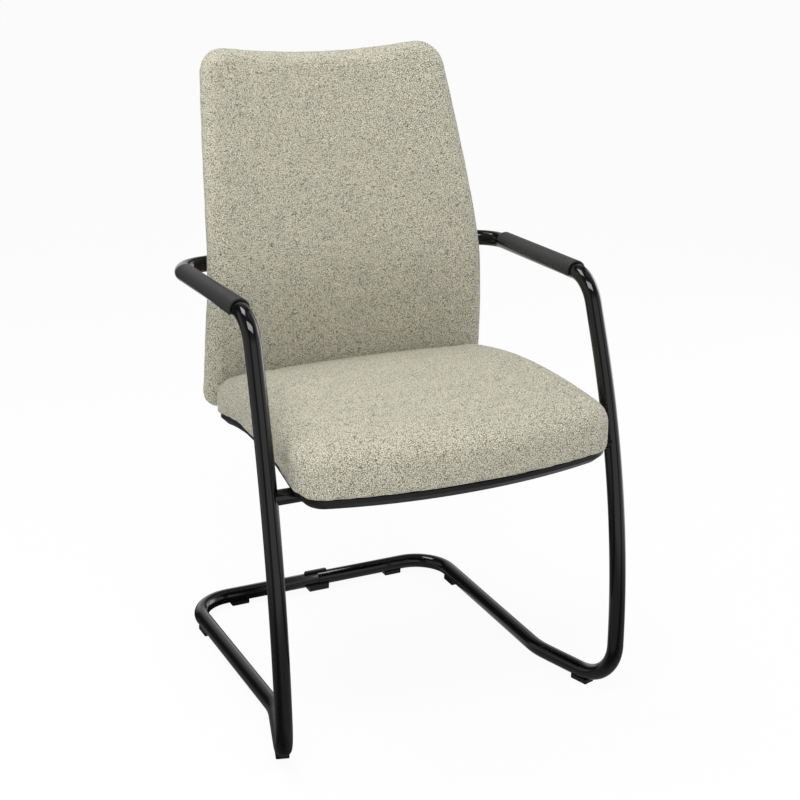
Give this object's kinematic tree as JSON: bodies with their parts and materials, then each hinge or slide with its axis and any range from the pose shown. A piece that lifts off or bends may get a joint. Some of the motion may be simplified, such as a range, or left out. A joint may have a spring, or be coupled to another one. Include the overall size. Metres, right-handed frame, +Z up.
{
  "type": "visitor chair",
  "caption": "Visitor chair on a bent tube sled frame whose legs run on into a closed arm loop, with a padded seat and a tall padded back.",
  "frame": {"origin": "on the floor under the middle of the chair's bounding box", "axes": "+Z up, -Y to the front where the sitter faces, +X to one side; the chair is alike on both sides of X = 0"},
  "size_m": [0.5782, 0.6185, 0.9666],
  "materials": {
    "frame": "gloss black powder coat",
    "steel": "zinc plated",
    "pan": "fine grained black moulding",
    "pad": "soft matt black",
    "glide": "plain black moulding",
    "board": "bare moulded beech plywood",
    "foam": "moulded foam",
    "cover": "crackle patterned woven upholstery"
  },
  "bodies": {
    "root": {"frame_tube_left": "frame", "frame_tube_right": "frame", "crossbar": "frame", "base_joint_sleeve": "steel", "loop_joint_sleeve": "steel", "crossbar_saddle_left": "frame", "crossbar_saddle_right": "frame", "back_plate_left": "frame", "back_plate_right": "frame", "seat_back_link_left": "frame", "seat_back_link_right": "frame", "base_joint_clip": "glide", "seat_pan": "pan", "arm_pad_left": "pad", "arm_pad_right": "pad", "glide_front_left": "glide", "glide_front_right": "glide", "glide_side_left": "glide", "glide_side_right": "glide", "glide_rear_left": "glide", "glide_rear_right": "glide", "seat_board": "board", "back_board": "board", "seat_foam": "foam", "back_foam": "foam", "seat_fabric": "cover", "back_fabric": "cover", "seat_bolts": "steel", "link_bolts": "steel", "back_bolts": "steel", "seat_tee_nuts": "steel", "back_tee_nuts": "steel", "pan_screws": "steel"}
  },
  "joints": []
}
